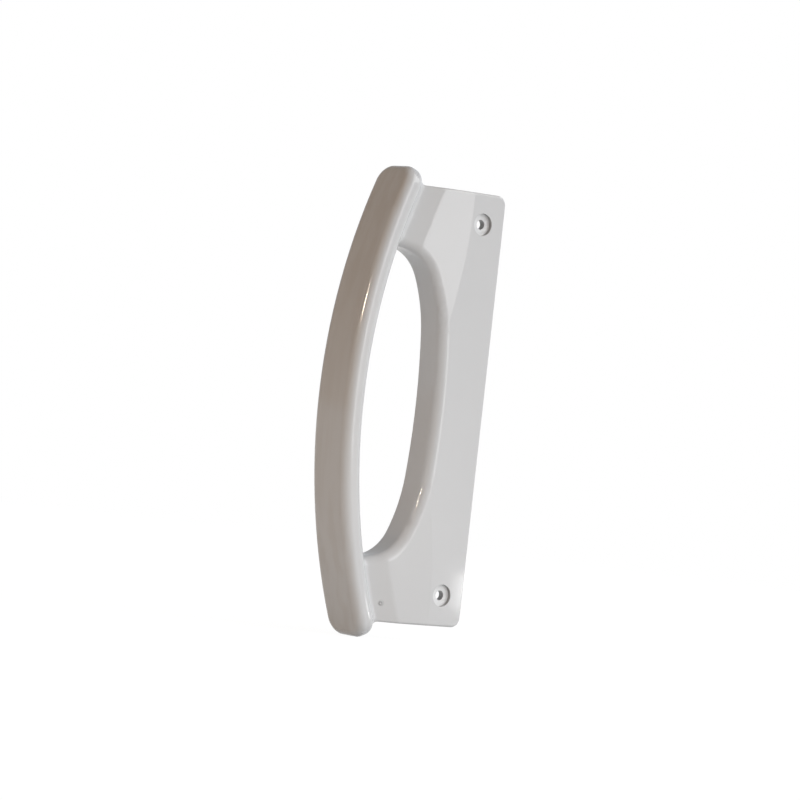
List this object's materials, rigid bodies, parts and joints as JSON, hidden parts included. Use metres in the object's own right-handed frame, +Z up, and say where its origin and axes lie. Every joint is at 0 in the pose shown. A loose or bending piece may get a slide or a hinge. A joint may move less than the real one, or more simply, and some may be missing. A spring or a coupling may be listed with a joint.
{
  "type": "appliance door handle",
  "caption": "Moulded bow handle for a fridge door, with a side flange that takes fixing screws and a D-shaped window for the fingers.",
  "frame": {"origin": "midway between the screw holes, on the flange's face that lies on the side of the door", "axes": "+Z up along the handle, +X from the bow to the flange's free edge, +Y from the flange into the door, so the seen side faces -Y"},
  "size_m": [0.0738, 0.0282, 0.2114],
  "materials": {
    "handle_plastic": "white moulded plastic with an even gloss"
  },
  "bodies": {
    "root": {"door_handle": "handle_plastic"}
  },
  "joints": []
}
